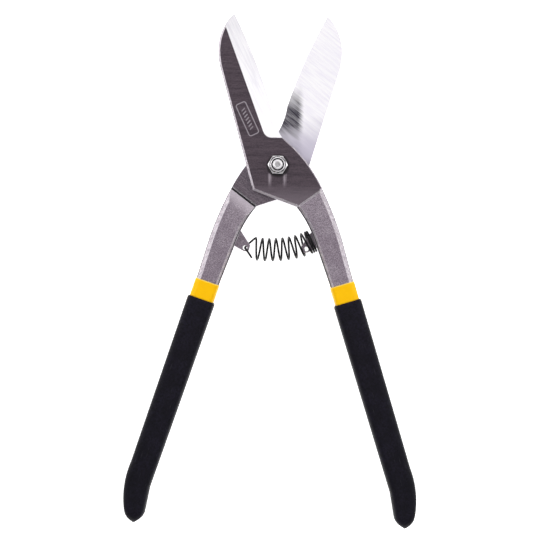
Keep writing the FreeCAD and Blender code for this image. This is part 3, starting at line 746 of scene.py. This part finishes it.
UP = Vector((0, 0, 1))


def heading(angle):
    """A direction in the plane of the snips, by its angle from +X."""
    return Vector((math.cos(angle), math.sin(angle), 0))


def spring_points():
    """Points along the wire with each one's share of the front half's motion."""
    forward = heading(COIL_CLOSED_ANGLE)
    seat = LUG_MIDDLE + heading(COIL_CLOSED_ANGLE - math.pi / 2) * COIL_DROP
    closed = seat - forward * (COIL_SEAT + CLOSED_TURNS * CLOSED_PITCH)
    reach = (closed - COIL_START).length / 3
    knots = [COIL_START, COIL_START + heading(COIL_START_ANGLE) * reach, closed - forward * reach, closed]
    points = hook_curve(hook_points())
    shares = [0.0] * len(points)
    for step in range(int(OPEN_TURNS * STEPS_PER_TURN)):
        turn = step / STEPS_PER_TURN
        centre, way = bezier(knots, turn / OPEN_TURNS)
        points.append(round_coil(centre, UP.cross(way).normalized(), math.tau * turn))
        shares.append(front_share(turn))
    for step in range(int(CLOSED_TURNS * STEPS_PER_TURN) + 1):
        turn = step / STEPS_PER_TURN
        centre = closed + forward * turn * CLOSED_PITCH
        points.append(round_coil(centre, UP.cross(forward), math.tau * (OPEN_TURNS + turn)))
        shares.append(1.0)
    return points, shares


def round_coil(centre, across, angle):
    """A place on the wire's middle line, at an angle round the coil."""
    return centre + (across * math.cos(angle) + UP * math.sin(angle)) * COIL / 2


def front_share(turn):
    """How much of the front half's motion a place follows, by the open turns before it."""
    slide = SLIDE_BACK * min(1.0, turn / SLIDE_TURNS)
    return slide + (1 - SLIDE_BACK) * max(0.0, turn - SLIDE_TURNS) / (OPEN_TURNS - SLIDE_TURNS)


def bezier(knots, place):
    """A cubic curve's point and direction at a place from 0 to 1."""
    a, b, c, d = knots
    rest = 1 - place
    point = a * rest ** 3 + b * 3 * rest ** 2 * place + c * 3 * rest * place ** 2 + d * place ** 3
    way = (b - a) * rest ** 2 + (c - b) * 2 * rest * place + (d - c) * place ** 2
    return point, way.normalized()


def hook_points():
    """The hook's corners: loose end in front of the lug, through its hole and out behind."""
    side = UP * (LUG_THICK / 2 + WIRE / 2 + HOOK_GAP)
    tail = heading(TAIL_ANGLE)
    lead = heading(LEAD_ANGLE)
    return [
        LUG_HOLE + tail * HOOK_REACH + side,
        LUG_HOLE + tail * (HOOK_REACH + HOOK_BEND) / 2 + side,
        LUG_HOLE + tail * HOOK_BEND + side,
        LUG_HOLE,
        LUG_HOLE + lead * HOOK_BEND - side,
        LUG_HOLE + lead * LEAD_REACH - side,
    ]


def hook_curve(corners):
    """A smooth curve through the hook's corners that runs on into the first coil."""
    way = heading(COIL_START_ANGLE)
    across = UP.cross(way).normalized()
    start = round_coil(COIL_START, across, 0)
    after = round_coil(COIL_START + way * LEAD_STEP, across, LEAD_TURN)
    leads = [corners[0] * 2 - corners[1], *corners, start, after]
    points = []
    for number in range(1, len(leads) - 2):
        a, b, c, d = leads[number - 1:number + 3]
        for step in range(HOOK_STEPS):
            t = step / HOOK_STEPS
            bend = (a * 2 - b * 5 + c * 4 - d) * t ** 2 + (b * 3 - a - c * 3 + d) * t ** 3
            points.append((b * 2 + (c - a) * t + bend) / 2)
    return points


def return_spring():
    """The wire as one tube, standing in for the model's spring, which is hidden."""
    points, shares = spring_points()
    lift = UP * shear_height
    wire = []
    side = UP
    for number, point in enumerate(points):
        before, after = points[max(number - 1, 0)], points[min(number + 1, len(points) - 1)]
        way = (after - before).normalized()
        side = (side - way * side.dot(way)).normalized()
        other = way.cross(side)
        for angle in (math.tau * corner / WIRE_SIDES for corner in range(WIRE_SIDES)):
            wire.append(point + lift + (side * math.cos(angle) + other * math.sin(angle)) * WIRE / 2)
    spring = new_object("coil_spring", wire, ring_faces(len(points), WIRE_SIDES), spring_steel())
    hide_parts("return_spring")
    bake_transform(spring)


# ---------------------------------------------------------------- assembly


def paint_node(node, material):
    """Gives a CAD node's mesh one material."""
    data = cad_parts[node].data
    data.materials.clear()
    data.materials.append(material)


def build_steel():
    paint_node("front_half", forged_steel("front_forging", turned=False, marked=True))
    paint_node("rear_half", forged_steel("rear_forging", turned=True, marked=False))
    paint_node("pivot_bolt", plated_steel("plated_bolt", dark_middle=True))
    paint_node("pivot_nut", plated_steel("plated_nut", dark_middle=False))
    paint_node("nut_insert", nylon())


def build_coats():
    for body, side in (("front_side", 1), ("rear_side", -1)):
        word = body.split("_")[0]
        yellow = yellow_dip(word + "_yellow_dip", side)
        band = dipped_coat(word + "_yellow_coat", word + "_undercoat", side, UNDERCOAT, yellow)
        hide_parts(word + "_undercoat")
        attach(band, body)
        black = black_dip(word + "_black_dip", side)
        cover = dipped_coat(word + "_black_coat", word + "_grip", side, GRIP, black)
        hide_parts(word + "_grip")
        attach(cover, body)


def build_floor():
    reach = 3.0
    points = [(-reach, -reach, 0), (reach, -reach, 0), (reach, reach, 0), (-reach, reach, 0)]
    floor = new_object("floor", points, [(0, 1, 2, 3)], floor_white(), smooth=False)


def soft_light(name, place, aim, size, power):
    """A square soft box at a place, turned towards another."""
    lamp = bpy.data.lights.new(name, "AREA")
    lamp.shape = "SQUARE"
    lamp.size = size
    lamp.energy = power
    made = bpy.data.objects.new(name, lamp)
    made.location = place
    made.rotation_euler = (Vector(aim) - Vector(place)).to_track_quat("-Z", "Y").to_euler()
    bpy.context.scene.collection.objects.link(made)


def build_light():
    """Soft boxes all round and a weak card overhead, which the flat faces mirror."""
    soft_light("overhead_card", (0.0, -0.06, 1.15), (0, -0.06, 0), 0.9, 2.4)
    soft_light("left_softbox", (-0.75, 0.15, 0.55), (0, -0.05, 0), 0.7, 5.0)
    soft_light("right_softbox", (0.75, 0.05, 0.6), (0, -0.05, 0), 0.7, 5.0)
    soft_light("top_softbox", (0.0, 0.75, 0.75), (0, -0.05, 0), 0.7, 3.2)
    soft_light("low_softbox", (0.05, -0.85, 0.7), (0, -0.05, 0), 0.6, 1.8)
    build_world()
    bpy.context.scene.view_settings.view_transform = "Standard"


def build_world():
    """A white room that is bright near the horizon and dimmer overhead."""
    world = bpy.data.worlds.new("studio")
    world.use_nodes = True
    tree = world.node_tree
    way = tree.nodes.new("ShaderNodeTexCoord")
    split = tree.nodes.new("ShaderNodeSeparateXYZ")
    glow = tree.nodes.new("ShaderNodeMapRange")
    levels = {"From Min": 0.05, "From Max": 0.85, "To Min": 1.0, "To Max": 0.26}
    for socket, level in levels.items():
        glow.inputs[socket].default_value = level
    tree.links.new(way.outputs["Generated"], split.inputs[0])
    tree.links.new(split.outputs["Z"], glow.inputs["Value"])
    tree.links.new(glow.outputs[0], tree.nodes["Background"].inputs["Strength"])
    bpy.context.scene.world = world


def build_camera():
    camera = bpy.data.cameras.new("camera")
    camera.lens = LENS
    camera.sensor_width = SENSOR
    camera.clip_start = 0.05
    camera.clip_end = 20
    made = bpy.data.objects.new("camera", camera)
    made.location = CENTRE + Vector((0, 0, FIELD * LENS / SENSOR))
    made.rotation_euler = (0, 0, ROLL)
    bpy.context.scene.collection.objects.link(made)
    bpy.context.scene.camera = made


build_steel()
build_coats()
return_spring()
build_floor()
build_light()
build_camera()
